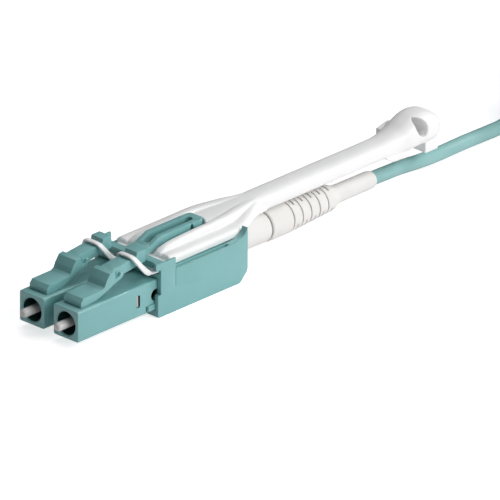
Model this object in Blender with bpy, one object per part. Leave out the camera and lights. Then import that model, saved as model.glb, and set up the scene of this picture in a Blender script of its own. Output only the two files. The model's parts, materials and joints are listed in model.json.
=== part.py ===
"""Duplex fibre optic patch cord with a push-pull tab on each connector.

A connector is modelled in millimetres in its own space: X across, Y from the
front of the plugs towards the boot, Z up from the underside of the clip
housing. The same functions build both ends; the far end is turned round and
set beyond the hank. The model's origin is under the middle of the near end.
"""
import math

import bmesh
import bpy
from mathutils import Matrix, Vector

MM = 0.001

# Standard sizes of this connector family
PLUG_PITCH = 6.25
PLUG_WIDTH = 4.52
FERRULE_RADIUS = 0.625
CABLE_RADIUS = 1.0
FIBRE_RADIUS = 0.42

# Heights
PLUG_FLOOR = 0.9
PLUG_TOP = 5.3
PLUG_AXIS = 3.05
BOOT_AXIS = 3.0
DECK_TOP = 6.05
BRIDGE_TOP = 7.75

# Distances from the front of the plugs
FERRULE_TIP = -1.8
PLUG_REAR = 15.4
HOUSING_FRONT = 14.4
HOUSING_REAR = 31.45
COLLAR_REAR = 40.3
BOOT_FRONT = 40.5
BOOT_REAR = 61.5
HEAD_REAR = 73.6
HOLE_LEAN = 0.5

# Widths
HOUSING_HALF = 6.1
TAB_HALF = 5.0
SLOT_HALF = 1.75

# Latch pivot, in the side view
LATCH_PIVOT_Y = 2.6
LATCH_PIVOT_Z = 5.36

# Spring
SPRING_RADIUS = 1.17
SPRING_WIRE = 0.17
SPRING_FRONT = 12.45
SPRING_REAR = 17.6
SPRING_TURNS = 4

# Hank of cord that is not laid out, and the strap round it
FOLD_INNER = 6.2
LAP_PITCH = 2.05
HANK_FOLD_NEAR = 100.5
HANK_RUN = 23.0
HANK_FLOOR = 0.75
HANK_HEIGHT = 11.3
TIE_THICKNESS = 0.6
TIE_WIDTH = 8.0

# Where the far end stands
FAR_FRONT = 210.2
FAR_SHIFT = -2.0

ORIGIN_Y = 35.9
ROUND_SIDES = 16
SMALL_GAP = 0.1


def clear_scene():
    for item in list(bpy.data.objects):
        bpy.data.objects.remove(item, do_unlink=True)


def finish(name, colour, roughness, metallic=0.0):
    material = bpy.data.materials.new(name)
    material.use_nodes = True
    shader = material.node_tree.nodes["Principled BSDF"]
    shader.inputs["Base Color"].default_value = (*colour, 1.0)
    shader.inputs["Roughness"].default_value = roughness
    shader.inputs["Metallic"].default_value = metallic
    return material


# ---------------------------------------------------------------- shapes

def faced_out(mesh):
    """Turn all faces of a closed mesh outwards."""
    bmesh.ops.recalc_face_normals(mesh, faces=mesh.faces)
    if mesh.calc_volume(signed=True) < 0:
        bmesh.ops.reverse_faces(mesh, faces=mesh.faces)
    return mesh


def prism(outline, axis, low, high):
    """Sweep a closed outline along an axis: 'x' takes (y, z) points, 'z' takes (x, y)."""
    mesh = bmesh.new()
    rings = []
    for level in (low, high):
        if axis == "x":
            ring = [mesh.verts.new((level, a, b)) for a, b in outline]
        elif axis == "y":
            ring = [mesh.verts.new((a, level, b)) for a, b in outline]
        else:
            ring = [mesh.verts.new((a, b, level)) for a, b in outline]
        mesh.faces.new(ring)
        rings.append(ring)
    count = len(outline)
    for i in range(count):
        j = (i + 1) % count
        mesh.faces.new((rings[0][i], rings[0][j], rings[1][j], rings[1][i]))
    return faced_out(mesh)


def box(low, high):
    corners = [(low[0], low[1]), (high[0], low[1]), (high[0], high[1]), (low[0], high[1])]
    return prism(corners, "z", low[2], high[2])


def turned(profile, x, z, closed=False, sides=ROUND_SIDES):
    """Turn (radius, y) points about a line along Y; closed profiles make sleeves."""
    mesh = bmesh.new()
    rings = []
    for radius, y in profile:
        if radius == 0:
            rings.append([mesh.verts.new((x, y, z))])
            continue
        ring = []
        for i in range(sides):
            angle = math.tau * (i + 0.5) / sides
            ring.append(mesh.verts.new((x + radius * math.cos(angle), y, z + radius * math.sin(angle))))
        rings.append(ring)
    pairs = list(zip(rings, rings[1:]))
    if closed:
        pairs.append((rings[-1], rings[0]))
    for first, second in pairs:
        for i in range(sides):
            j = (i + 1) % sides
            corners = [first[i % len(first)], first[j % len(first)],
                       second[j % len(second)], second[i % len(second)]]
            mesh.faces.new(list(dict.fromkeys(corners)))
    return faced_out(mesh)


def rounded_section(half_width, bottom, top, y, count=16, power=2.8):
    """Points of a rounded oblong across the Y direction."""
    middle = (bottom + top) / 2
    half_height = (top - bottom) / 2
    points = []
    for i in range(count):
        angle = math.tau * (i + 0.5) / count
        c = math.cos(angle)
        s = math.sin(angle)
        x = half_width * math.copysign(abs(c) ** (2 / power), c)
        z = middle + half_height * math.copysign(abs(s) ** (2 / power), s)
        points.append((x, y, z))
    return points


def loft(sections):
    """Skin a row of sections with equal point counts and cap both ends."""
    mesh = bmesh.new()
    rings = [[mesh.verts.new(point) for point in section] for section in sections]
    for first, second in zip(rings, rings[1:]):
        for i in range(len(first)):
            j = (i + 1) % len(first)
            mesh.faces.new((first[i], first[j], second[j], second[i]))
    mesh.faces.new(rings[0])
    mesh.faces.new(rings[-1])
    return faced_out(mesh)


def merged(*meshes):
    """Several loose bodies in one mesh, for a cutter."""
    result = bmesh.new()
    for part in meshes:
        temporary = bpy.data.meshes.new("temporary")
        part.to_mesh(temporary)
        result.from_mesh(temporary)
        bpy.data.meshes.remove(temporary)
        part.free()
    return result


def arc(centre, radius, start, stop, steps):
    """Points of an arc in degrees, ends included."""
    points = []
    for i in range(steps + 1):
        angle = math.radians(start + (stop - start) * i / steps)
        points.append((centre[0] + radius * math.cos(angle), centre[1] + radius * math.sin(angle)))
    return points


def smooth_route(points, step):
    """Even points along a Catmull-Rom curve through the route's own points."""
    knots = [Vector(p) for p in points]
    padded = [knots[0] * 2 - knots[1]] + knots + [knots[-1] * 2 - knots[-2]]
    fine = []
    for i in range(1, len(padded) - 2):
        p0, p1, p2, p3 = padded[i - 1:i + 3]
        for k in range(20):
            t = k / 20
            fine.append(0.5 * (2 * p1 + (p2 - p0) * t + (2 * p0 - 5 * p1 + 4 * p2 - p3) * t ** 2
                               + (3 * p1 - p0 - 3 * p2 + p3) * t ** 3))
    fine.append(knots[-1])
    total = sum((b - a).length for a, b in zip(fine, fine[1:]))
    count = max(2, round(total / step))
    even = [fine[0]]
    walked = 0.0
    for a, b in zip(fine, fine[1:]):
        walked += (b - a).length
        if walked >= len(even) * total / count and len(even) < count:
            even.append(b)
    return even + [fine[-1]]


# ---------------------------------------------------------------- objects

def to_object(name, mesh, parent, pivot=(0, 0, 0)):
    """Make an object of a millimetre mesh, with its origin at the pivot."""
    bmesh.ops.translate(mesh, verts=mesh.verts, vec=-Vector(pivot))
    bmesh.ops.scale(mesh, verts=mesh.verts, vec=(MM, MM, MM))
    data = bpy.data.meshes.new(name)
    mesh.to_mesh(data)
    mesh.free()
    item = bpy.data.objects.new(name, data)
    bpy.context.collection.objects.link(item)
    item.parent = parent
    item.location = Vector(pivot) * MM
    return item


def piece(name, mesh, material, parent, pivot=(0, 0, 0), smooth=False):
    item = to_object(name, mesh, parent, pivot)
    item.data.materials.append(material)
    if smooth:
        item.data.shade_smooth()
        item.data.set_sharp_from_angle(angle=math.radians(35))
    return item


def combine(item, tool_mesh, operation):
    """Boolean one millimetre mesh into an object."""
    tool = to_object(f"tool_{len(bpy.data.objects)}", tool_mesh, item.parent)
    tool.hide_render = True
    tool.display_type = "WIRE"
    modifier = item.modifiers.new(operation.lower(), "BOOLEAN")
    modifier.operation = operation
    modifier.solver = "EXACT"
    modifier.object = tool


def cut(item, *meshes):
    combine(item, merged(*meshes), "DIFFERENCE")


def weld(item, *meshes):
    for mesh in meshes:
        combine(item, mesh, "UNION")


def tube(name, points, radius, material, parent, resolution=2):
    """A round solid along a line of points, with filled ends."""
    curve = bpy.data.curves.new(name, "CURVE")
    curve.dimensions = "3D"
    curve.bevel_depth = radius * MM
    curve.bevel_resolution = resolution
    curve.use_fill_caps = True
    spline = curve.splines.new("POLY")
    spline.points.add(len(points) - 1)
    for target, point in zip(spline.points, points):
        target.co = (*(Vector(point) * MM), 1.0)
    curve.materials.append(material)
    item = bpy.data.objects.new(name, curve)
    bpy.context.collection.objects.link(item)
    item.parent = parent
    return item


def place(name, x, y, turn):
    empty = bpy.data.objects.new(name, None)
    bpy.context.collection.objects.link(empty)
    empty.matrix_world = Matrix.Translation((x * MM, (y - ORIGIN_Y) * MM, 0)) @ Matrix.Rotation(turn, 4, "Z")
    return empty


# ---------------------------------------------------------------- plug pieces

def plug_body(name, x, parent):
    """Square plug: open front bore, seat for the ferrule holder, spring chamber."""
    half = PLUG_WIDTH / 2
    bevel = 0.3
    outline = [(x - half + bevel, PLUG_FLOOR), (x + half - bevel, PLUG_FLOOR),
               (x + half, PLUG_FLOOR + bevel), (x + half, PLUG_TOP - bevel),
               (x + half - bevel, PLUG_TOP), (x - half + bevel, PLUG_TOP),
               (x - half, PLUG_TOP - bevel), (x - half, PLUG_FLOOR + bevel)]
    item = piece(name, prism(outline, "y", 0, PLUG_REAR), AQUA, parent)
    weld(item, turned([(0, 14.0), (2.05, 14.0), (2.05, 19.4), (0, 19.4)], x, PLUG_AXIS))
    bore = [(0, -1.0), (1.625, -1.0), (1.625, 8.2), (1.05, 8.2), (1.05, 10.2),
            (1.6, 10.2), (1.6, 20.4), (0, 20.4)]
    cut(item, turned(bore, x, PLUG_AXIS))
    for side in (-1, 1):
        wall = x + side * half
        window = box((wall - 0.9, 11.0, 2.3), (wall + 0.9, 11.65, 4.05))
        slot = box((wall - 0.3, 12.75, 1.2), (wall + 0.3, 13.05, 1.95))
        notch = prism(arc((14.6, 3.15), 0.85, 0, 315, 7), "x", wall - 0.45, wall + 0.45)
        cut(item, window, slot)
        cut(item, notch)
    return item


def latch(name, x, parent):
    """Cantilever arm: wide root, locking shoulder, narrow tail with a raised end."""
    root = [(1.2, 5.36), (2.6, 5.36), (5.6, 5.7), (7.2, 6.3), (7.75, 7.35), (7.75, 8.5),
            (7.4, 8.66), (7.05, 8.5), (6.85, 8.2), (6.3, 7.0), (5.6, 6.55), (1.6, 6.6), (1.2, 6.2)]
    tail = [(7.2, 7.0), (8.6, 7.4), (10.8, 8.05), (13.95, 8.15), (13.95, 9.6), (12.7, 9.6),
            (12.0, 8.87), (10.7, 8.87), (9.2, 8.45), (8.5, 8.25), (7.2, 8.3)]
    item = piece(name, prism(root, "x", x - 1.6, x + 1.6), AQUA, parent,
                 pivot=(x, LATCH_PIVOT_Y, LATCH_PIVOT_Z))
    weld(item, prism(tail, "x", x - 1.07, x + 1.07))
    return item


def ferrule(name, x, parent):
    profile = [(0, FERRULE_TIP), (0.42, FERRULE_TIP), (FERRULE_RADIUS, -1.5), (FERRULE_RADIUS, 10.8), (0, 10.8)]
    return piece(name, turned(profile, x, PLUG_AXIS), CERAMIC, parent, smooth=True)


def ferrule_holder(name, x, parent):
    """Metal nose, flange and tail; the ferrule sits in the front bore."""
    profile = [(0.68, 9.0), (0.95, 9.0), (0.95, 10.35), (1.45, 10.35), (1.45, 12.35),
               (0.84, 12.35), (0.84, 16.0), (0.52, 16.0), (0.52, 11.0), (0.68, 11.0)]
    return piece(name, turned(profile, x, PLUG_AXIS, closed=True), METAL, parent, smooth=True)


def ferrule_spring(name, x, parent):
    points = []
    steps = 9 * SPRING_TURNS
    length = SPRING_REAR - SPRING_FRONT - 2 * SPRING_WIRE
    for i in range(steps + 1):
        angle = math.tau * SPRING_TURNS * i / steps
        y = SPRING_FRONT + SPRING_WIRE + length * i / steps
        points.append((x + SPRING_RADIUS * math.cos(angle), y, PLUG_AXIS + SPRING_RADIUS * math.sin(angle)))
    return tube(name, points, SPRING_WIRE, METAL, parent, resolution=1)


def spring_stop(name, x, parent):
    profile = [(0.62, 17.75), (1.5, 17.75), (1.5, 19.5), (2.0, 19.5), (2.0, 20.3),
               (1.1, 20.3), (1.1, 22.3), (0.62, 22.3)]
    return piece(name, turned(profile, x, PLUG_AXIS, closed=True), METAL, parent, smooth=True)


def fibre(name, x, parent):
    """Buffered fibre from the ferrule holder's tail to the crimp body."""
    side = math.copysign(1, x)
    end = side * 0.5
    route = [(x, 12.1, PLUG_AXIS), (x, 17.0, PLUG_AXIS), (x, 22.6, PLUG_AXIS),
             ((2 * x + end) / 3, 23.8, 3.03), ((x + 2 * end) / 3, 25.1, 3.01),
             (end, 26.7, BOOT_AXIS), (end, 28.4, BOOT_AXIS), (end, 30.6, BOOT_AXIS)]
    return tube(name, smooth_route(route, 1.2), FIBRE_RADIUS, FIBRE, parent)


# ---------------------------------------------------------------- housing pieces

def clip_housing(name, parent):
    """Duplex body: plug pockets in front, hollow middle, rear hole for the crimp body."""
    side_view = [(HOUSING_FRONT, 0), (30.15, 0), (31.0, 0.35), (HOUSING_REAR, 1.3), (HOUSING_REAR, DECK_TOP),
                 (14.95, DECK_TOP), (14.95, 3.2), (HOUSING_FRONT, 3.2)]
    item = piece(name, prism(side_view, "x", -HOUSING_HALF, HOUSING_HALF), AQUA, parent)
    post = [(28.4, 5.9), (HOUSING_REAR, 5.9), (HOUSING_REAR, 7.55), (30.7, 7.55), (30.3, 6.8), (29.5, 6.25),
            (28.4, DECK_TOP + 0.05)]
    wall = [(14.95, 5.9), (17.75, 5.9), (17.75, 7.65), (14.95, 7.65)]
    weld(item, prism(post, "x", 5.1, HOUSING_HALF))
    for low, high in ((-HOUSING_HALF, -5.78), (5.78, HOUSING_HALF)):
        weld(item, prism(wall, "x", low, high))
    bridge = [(-HOUSING_HALF, 15.75), (-HOUSING_HALF, 14.05), (-5.2, 14.5), (5.2, 14.5),
              (HOUSING_HALF, 14.05), (HOUSING_HALF, 15.75)]
    weld(item, prism(bridge, "z", 6.82, BRIDGE_TOP))
    pockets = []
    half = PLUG_WIDTH / 2 + 0.05
    for x in (-PLUG_PITCH / 2, PLUG_PITCH / 2):
        pockets.append(box((x - half, 13.5, PLUG_FLOOR - 0.05), (x + half, PLUG_REAR + 0.06, PLUG_TOP + 0.05)))
    cut(item, *pockets)
    holes = [turned([(0, 15.0), (2.12, 15.0), (2.12, 17.0), (0, 17.0)], x, PLUG_AXIS)
             for x in (-PLUG_PITCH / 2, PLUG_PITCH / 2)]
    cut(item, *holes)
    cut(item, box((-5.3, 16.7, 0.8), (5.3, 30.5, 5.25)))
    cut(item, turned([(0, 30.0), (1.62, 30.0), (1.62, 32.0), (0, 32.0)], 0, BOOT_AXIS))
    passes = []
    for x in (-PLUG_PITCH / 2, PLUG_PITCH / 2):
        for side in (-1, 1):
            low, high = sorted((x + side * 1.65, x + side * 2.6))
            passes.append(box((low, 13.5, 6.5), (high, 16.3, 7.3)))
    cut(item, *passes)
    return item


def lock_tongue(name, parent):
    """Sprung loop over the tab: front root at the bridge, two limbs, rounded rear pad."""
    side_view = [(15.87, 6.85), (17.6, 6.85), (19.4, 7.25), (28.1, 7.25), (28.5, 7.6), (28.5, 8.25),
                 (28.1, 8.65), (19.7, 8.65), (17.7, 7.65), (15.87, 7.65)]
    item = piece(name, prism(side_view, "x", -1.35, 1.35), AQUA, parent, pivot=(0, 15.9, 7.2))
    cut(item, box((-0.62, 18.2, 6.0), (0.62, 27.0, 9.5)))
    return item


def hoop_route(x):
    """Centre line of the hoop over one latch tail, left foot to right foot."""
    right = [(0.0, 11.4, 9.25), (1.15, 11.45, 9.15), (1.75, 11.8, 8.5), (2.05, 12.25, 7.8),
             (2.15, 12.75, 7.2), (2.15, 13.3, 6.75), (2.12, 14.0, 6.5), (2.12, 16.4, 6.45)]
    left = [(-a, b, c) for a, b, c in reversed(right[1:])]
    return [(x + a, b, c) for a, b, c in left + right]


def hoop(x):
    """Flat ribbon along the hoop's route."""
    route = [Vector(p) for p in hoop_route(x)]
    half_thick = 0.2
    half_wide = 0.4
    sections = []
    for i, point in enumerate(route):
        before = route[max(i - 1, 0)]
        after = route[min(i + 1, len(route) - 1)]
        along = (after - before).normalized()
        lean = Vector((along.x, 0, along.z))
        over = Vector((-lean.z, 0, lean.x)).normalized() if lean.length > 0.2 else Vector((0, 0, 1))
        wide = along.cross(over).normalized()
        over = wide.cross(along).normalized()
        sections.append([point + wide * half_wide + over * half_thick, point - wide * half_wide + over * half_thick,
                         point - wide * half_wide - over * half_thick, point + wide * half_wide - over * half_thick])
    return loft(sections)


def pull_tab(name, parent):
    """White tab: plate on the housing, two hoops in front, bar and head behind."""
    waist = [(TAB_HALF, 31.2), (4.6, 32.6), (3.6, 34.0), (2.7, 35.4), (2.15, 37.0), (2.0, 38.6)]
    right = [(SLOT_HALF, 17.9), (TAB_HALF, 17.9)] + waist
    left = [(-x, y) for x, y in reversed(right)]
    plate = right + left + arc((0, 27.6), SLOT_HALF, 180, 0, 6)
    item = piece(name, prism(plate, "z", 6.15, 7.5), WHITE, parent)
    weld(item, prism([(-5.65, 16.0), (5.65, 16.0), (5.65, 18.0), (4.7, 18.6), (4.7, 21.0), (-4.7, 21.0),
                      (-4.7, 18.6), (-5.65, 18.0)], "z", 6.2, 6.7))
    for side in (-1, 1):
        low, high = sorted((side * (SLOT_HALF + 0.05), side * 3.0))
        weld(item, prism([(17.95, 6.9), (31.0, 6.9), (31.0, 8.1), (19.6, 8.1)], "x", low, high))
    bar = [(30.6, 2.4, 6.3, 8.1), (36.0, 2.15, 5.9, 8.25), (40.0, 2.0, 5.8, 8.3), (63.5, 2.0, 5.75, 8.35),
           (65.5, 2.15, 5.6, 8.85), (67.2, 2.4, 5.6, 9.55), (68.8, 2.55, 5.7, 10.1), (70.2, 2.6, 5.75, 10.3),
           (71.4, 2.5, 5.8, 10.15), (72.5, 2.15, 6.0, 9.6), (HEAD_REAR, 1.2, 6.7, 8.4)]
    weld(item, loft([rounded_section(half, low, high, y) for y, half, low, high in bar]))
    weld(item, prism([(63.6, 5.2), (67.3, 5.05), (67.3, 6.4), (62.8, 6.4)], "x", -1.9, 1.9))
    weld(item, prism([(70.05, 4.55), (72.4, 4.55), (72.4, 6.5), (70.05, 6.5)], "x", -1.9, 1.9))
    tilt = math.radians(-51)
    oval = []
    for i in range(12):
        angle = math.tau * i / 12
        long = 1.5 * math.cos(angle)
        short = 0.85 * math.sin(angle)
        oval.append((68.9 + long * math.cos(tilt) - short * math.sin(tilt),
                     7.9 + long * math.sin(tilt) + short * math.cos(tilt)))
    cut(item, loft([[(x, y, z + HOLE_LEAN * x) for y, z in oval] for x in (-5, 5)]))
    for x in (-PLUG_PITCH / 2, PLUG_PITCH / 2):
        weld(item, hoop(x))
    return item


def crimp_body(name, parent):
    profile = [(1.0, 27.4), (2.0, 27.4), (2.0, 30.4), (1.55, 30.4), (1.55, 31.6), (1.3, 31.6), (1.3, 36.6),
               (1.0, 36.6)]
    return piece(name, turned(profile, 0, BOOT_AXIS, closed=True), METAL, parent, smooth=True)


def crimp_ring(name, parent):
    profile = [(1.4, 32.0), (1.7, 32.0), (1.7, 37.2), (1.4, 37.2)]
    return piece(name, turned(profile, 0, BOOT_AXIS, closed=True), METAL, parent, smooth=True)


def boot_collar(name, parent):
    profile = [(1.85, 31.55), (2.15, 31.55), (2.15, COLLAR_REAR), (1.15, COLLAR_REAR), (1.15, 37.8), (1.85, 37.8)]
    return piece(name, turned(profile, 0, BOOT_AXIS, closed=True), BOOT, parent, smooth=True)


def bend_boot(name, parent):
    """Tapered strain relief with a row of ring grooves and a plain tail."""
    profile = [(1.15, BOOT_FRONT), (2.27, BOOT_FRONT), (2.27, 44.3)]
    rings = 5
    pitch = 1.6
    for i in range(rings):
        y = 44.3 + pitch * i
        radius = 2.27 - 0.45 * (i + 0.5) / rings
        profile += [(radius - 0.5, y + 0.05), (radius - 0.5, y + 0.65), (radius, y + 0.7), (radius - 0.06, y + pitch)]
    profile += [(1.72, 53.2), (1.28, 54.3), (1.28, 60.9), (1.15, BOOT_REAR)]
    mesh = turned(profile + [(1.08, BOOT_REAR - 0.05), (1.08, BOOT_FRONT)], 0, BOOT_AXIS, closed=True, sides=14)
    return piece(name, mesh, BOOT, parent, smooth=True)


def connector(prefix, parent):
    for letter, x in (("a", -PLUG_PITCH / 2), ("b", PLUG_PITCH / 2)):
        plug_body(f"{prefix}_plug_body_{letter}", x, parent)
        latch(f"{prefix}_latch_{letter}", x, parent)
        ferrule(f"{prefix}_ferrule_{letter}", x, parent)
        ferrule_holder(f"{prefix}_ferrule_holder_{letter}", x, parent)
        ferrule_spring(f"{prefix}_ferrule_spring_{letter}", x, parent)
        spring_stop(f"{prefix}_spring_stop_{letter}", x, parent)
        fibre(f"{prefix}_fibre_{letter}", x, parent)
    clip_housing(f"{prefix}_clip_housing", parent)
    lock_tongue(f"{prefix}_lock_tongue", parent)
    pull_tab(f"{prefix}_pull_tab", parent)
    crimp_body(f"{prefix}_crimp_body", parent)
    crimp_ring(f"{prefix}_crimp_ring", parent)
    boot_collar(f"{prefix}_boot_collar", parent)
    bend_boot(f"{prefix}_bend_boot", parent)


# ---------------------------------------------------------------- cord

def stadium(half_width, first, last, steps=10):
    """Outline with round ends whose arc centres are at the two Y values."""
    return arc((0, last), half_width, 0, 180, steps) + arc((0, first), half_width, 180, 360, steps)


def cord(parent):
    """Cable out of the near boot, the folded hank, and the cable into the far boot."""
    strand = HANK_FLOOR + CABLE_RADIUS
    outer = FOLD_INNER + LAP_PITCH
    half = outer + CABLE_RADIUS + 0.05
    fold_far = HANK_FOLD_NEAR + HANK_RUN
    near_route = [(0, COLLAR_REAR - 2.0, 3.0), (0, 50.0, 3.0), (0, BOOT_REAR, 3.0), (-0.3, 64.7, 2.75),
                  (-0.75, 67.7, 2.4), (-1.3, 72.1, 1.75), (-2.08, 76.7, 1.1), (-2.3, 82.0, 1.02),
                  (-2.2, 86.5, 1.02), (-2.15, 89.0, 1.06), (-2.5, 91.0, 1.15)]
    tube("cord_run", smooth_route(near_route, 4.5), CABLE_RADIUS, JACKET, parent)
    hank = prism(stadium(half, HANK_FOLD_NEAR, fold_far), "z", HANK_FLOOR, HANK_FLOOR + HANK_HEIGHT)
    piece("cord_hank", hank, JACKET, parent)
    far_boot = FAR_FRONT - BOOT_REAR
    x = FAR_SHIFT
    tail_route = [(-outer, 129.9, strand - 0.1), (-outer + 0.2, 132.2, 1.4), (-7.1, 135.3, 1.2),
                  (-5.4, 138.4, 1.4), (-3.6, 141.4, 1.8), (-2.3, 144.4, 2.5), (x, 147.0, 2.95),
                  (x, far_boot + 1.0, 3.0), (x, far_boot + 10.0, 3.0), (x, far_boot + 23.2, 3.0)]
    tube("cord_tail", smooth_route(tail_route, 4.5), CABLE_RADIUS, JACKET, parent)
    inner_half = half + 0.05
    low = HANK_FLOOR - 0.05
    high = HANK_FLOOR + HANK_HEIGHT + 0.05
    middle = (HANK_FOLD_NEAR + fold_far) / 2
    first = middle - TIE_WIDTH / 2
    last = middle + TIE_WIDTH / 2
    tie = box((-inner_half - TIE_THICKNESS, first, low - TIE_THICKNESS),
              (inner_half + TIE_THICKNESS, last, high + TIE_THICKNESS))
    item = piece("hank_tie", tie, STRAP, parent)
    cut(item, box((-inner_half, first - 1, low), (inner_half, last + 1, high)))


clear_scene()
AQUA = finish("aqua_plastic", (0.22, 0.46, 0.47), 0.38)
WHITE = finish("white_plastic", (0.86, 0.86, 0.85), 0.4)
BOOT = finish("boot_rubber", (0.82, 0.82, 0.80), 0.55)
CERAMIC = finish("white_ceramic", (0.88, 0.88, 0.86), 0.2)
METAL = finish("plated_metal", (0.72, 0.71, 0.68), 0.3, 1.0)
FIBRE = finish("fibre_buffer", (0.75, 0.78, 0.70), 0.45)
JACKET = finish("aqua_jacket", (0.10, 0.50, 0.50), 0.42)
STRAP = finish("tie_strap", (0.05, 0.05, 0.055), 0.7)

near_end = place("near_end", 0, 0, 0)
far_end = place("far_end", FAR_SHIFT, FAR_FRONT, math.pi)
connector("near", near_end)
connector("far", far_end)
cord(near_end)
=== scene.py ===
"""Looks of the duplex fibre optic patch cord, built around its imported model.

Every connector piece is made in millimetres in the connector's own space, as
the model's source makes it: X across, Y from the front of the plugs towards
the boot, Z up from the underside of the clip housing. place() then copies the
finished mesh to the near end and to the far end.
"""
import json
import math

import bmesh
import bpy
from mathutils import Matrix, Vector

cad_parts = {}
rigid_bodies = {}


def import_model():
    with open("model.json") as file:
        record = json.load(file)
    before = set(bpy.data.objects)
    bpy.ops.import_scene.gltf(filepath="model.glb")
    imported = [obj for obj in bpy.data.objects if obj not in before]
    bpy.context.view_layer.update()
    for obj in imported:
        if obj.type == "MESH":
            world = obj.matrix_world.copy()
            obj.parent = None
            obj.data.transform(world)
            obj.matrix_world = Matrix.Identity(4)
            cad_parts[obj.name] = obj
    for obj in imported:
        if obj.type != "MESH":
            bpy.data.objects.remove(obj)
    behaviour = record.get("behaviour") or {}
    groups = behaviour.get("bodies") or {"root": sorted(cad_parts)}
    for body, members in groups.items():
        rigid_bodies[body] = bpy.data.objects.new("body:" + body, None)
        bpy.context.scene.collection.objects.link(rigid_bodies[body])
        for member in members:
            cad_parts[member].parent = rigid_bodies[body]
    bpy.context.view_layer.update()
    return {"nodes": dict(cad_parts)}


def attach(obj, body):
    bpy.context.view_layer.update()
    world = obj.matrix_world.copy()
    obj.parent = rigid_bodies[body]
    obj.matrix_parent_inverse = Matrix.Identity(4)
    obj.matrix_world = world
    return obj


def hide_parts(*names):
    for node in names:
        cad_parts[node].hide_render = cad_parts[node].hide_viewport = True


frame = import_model()

MM = 0.001

# ------------------------------------------------------------- shared sizes, mm

# plugs and latches
PLUG_PITCH = 6.25
PLUG_HALF = 2.26
PLUG_FLOOR = 0.9
PLUG_TOP = 5.3
PLUG_AXIS = 3.05
PLUG_REAR = 15.4

# clip housing
DECK_TOP = 6.05
HOUSING_HALF = 6.1
HOUSING_FRONT = 14.4
HOUSING_REAR = 31.45

# pull tab
HEAD_REAR = 73.6
SLOT_HALF = 1.75
TAB_HALF = 5.0

# strain relief
BOOT_AXIS = 3.0
BOOT_FRONT = 40.5
BOOT_REAR = 61.5
COLLAR_REAR = 40.3
SLOT_RINGS = 10
SLOT_FIRST = 44.5
SLOT_PITCH = 0.86
SLOT_HALF_WIDTH = 0.1
SLOT_DEPTH = 0.55

# cable and hank
CABLE_RADIUS = 1.0
CABLE_INSIDE = 38.3
FOLD_INNER = 6.2
LAP_PITCH = 2.05
HANK_FOLD_NEAR = 100.5
HANK_RUN = 23.0
HANK_FLOOR = 0.75
HANK_HEIGHT = 11.3
HANK_LAPS = 4.5

# where the two connectors lie
ORIGIN_Y = 35.9
FAR_FRONT = 210.2
FAR_SHIFT = -2.0

ENDS = {
    "near": Matrix.Translation((0, -ORIGIN_Y * MM, 0)),
    "far": (Matrix.Translation((FAR_SHIFT * MM, (FAR_FRONT - ORIGIN_Y) * MM, 0))
            @ Matrix.Rotation(math.pi, 4, "Z")),
}
TO_METRES = Matrix.Scale(MM, 4)
SIDES = {"a": -PLUG_PITCH / 2, "b": PLUG_PITCH / 2}


def in_metres(point):
    """A millimetre point of the near connector's space, in the row frame."""
    return ENDS["near"] @ (Vector(point) * MM)


# ------------------------------------------------------------- camera

VIEW_AZIMUTH = math.radians(43.86)
VIEW_ELEVATION = math.radians(24.4)
VIEW_DISTANCE = 2.9
VIEW_WIDTH = 0.0664
VIEW_TARGET = (0, 38.22, 0.204)


def make_camera():
    """Long lens from the front right, a little above the part."""
    data = bpy.data.cameras.new("camera")
    camera = bpy.data.objects.new("camera", data)
    bpy.context.collection.objects.link(camera)
    level = math.cos(VIEW_ELEVATION)
    back = Vector((math.sin(VIEW_AZIMUTH) * level, -math.cos(VIEW_AZIMUTH) * level, math.sin(VIEW_ELEVATION)))
    camera.location = in_metres(VIEW_TARGET) + back * VIEW_DISTANCE
    camera.rotation_mode = "QUATERNION"
    camera.rotation_quaternion = (-back).to_track_quat("-Z", "Y")
    data.sensor_width = 36.0
    data.lens = data.sensor_width * VIEW_DISTANCE / VIEW_WIDTH
    data.clip_start = 0.1
    data.clip_end = 20.0
    bpy.context.scene.camera = camera


# ------------------------------------------------------------- materials

def new_material(name):
    material = bpy.data.materials.new(name)
    material.use_nodes = True
    nodes = material.node_tree.nodes
    return material, nodes, material.node_tree.links, nodes["Principled BSDF"]


def coordinates(nodes):
    return nodes.new("ShaderNodeTexCoord").outputs["Object"]


def noise(nodes, links, vector, scale, detail=3.0, roughness=0.55):
    node = nodes.new("ShaderNodeTexNoise")
    node.inputs["Scale"].default_value = scale
    node.inputs["Detail"].default_value = detail
    node.inputs["Roughness"].default_value = roughness
    links.new(vector, node.inputs["Vector"])
    return node.outputs["Fac"]


def mapped(nodes, links, value, low, high, start=0.3, stop=0.7):
    node = nodes.new("ShaderNodeMapRange")
    node.inputs["From Min"].default_value = start
    node.inputs["From Max"].default_value = stop
    node.inputs["To Min"].default_value = low
    node.inputs["To Max"].default_value = high
    links.new(value, node.inputs["Value"])
    return node.outputs["Result"]


def blended(nodes, links, value, first, second):
    node = nodes.new("ShaderNodeMix")
    node.data_type = "RGBA"
    node.inputs["A"].default_value = (*first, 1.0)
    node.inputs["B"].default_value = (*second, 1.0)
    links.new(value, node.inputs["Factor"])
    return node.outputs["Result"]


def bumped(nodes, links, shader, heights):
    """Chain of bumps; each item is (height output, strength, distance in metres)."""
    normal = None
    for height, strength, distance in heights:
        node = nodes.new("ShaderNodeBump")
        node.inputs["Strength"].default_value = strength
        node.inputs["Distance"].default_value = distance
        links.new(height, node.inputs["Height"])
        if normal is not None:
            links.new(normal, node.inputs["Normal"])
        normal = node.outputs["Normal"]
    links.new(normal, shader.inputs["Normal"])


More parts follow.
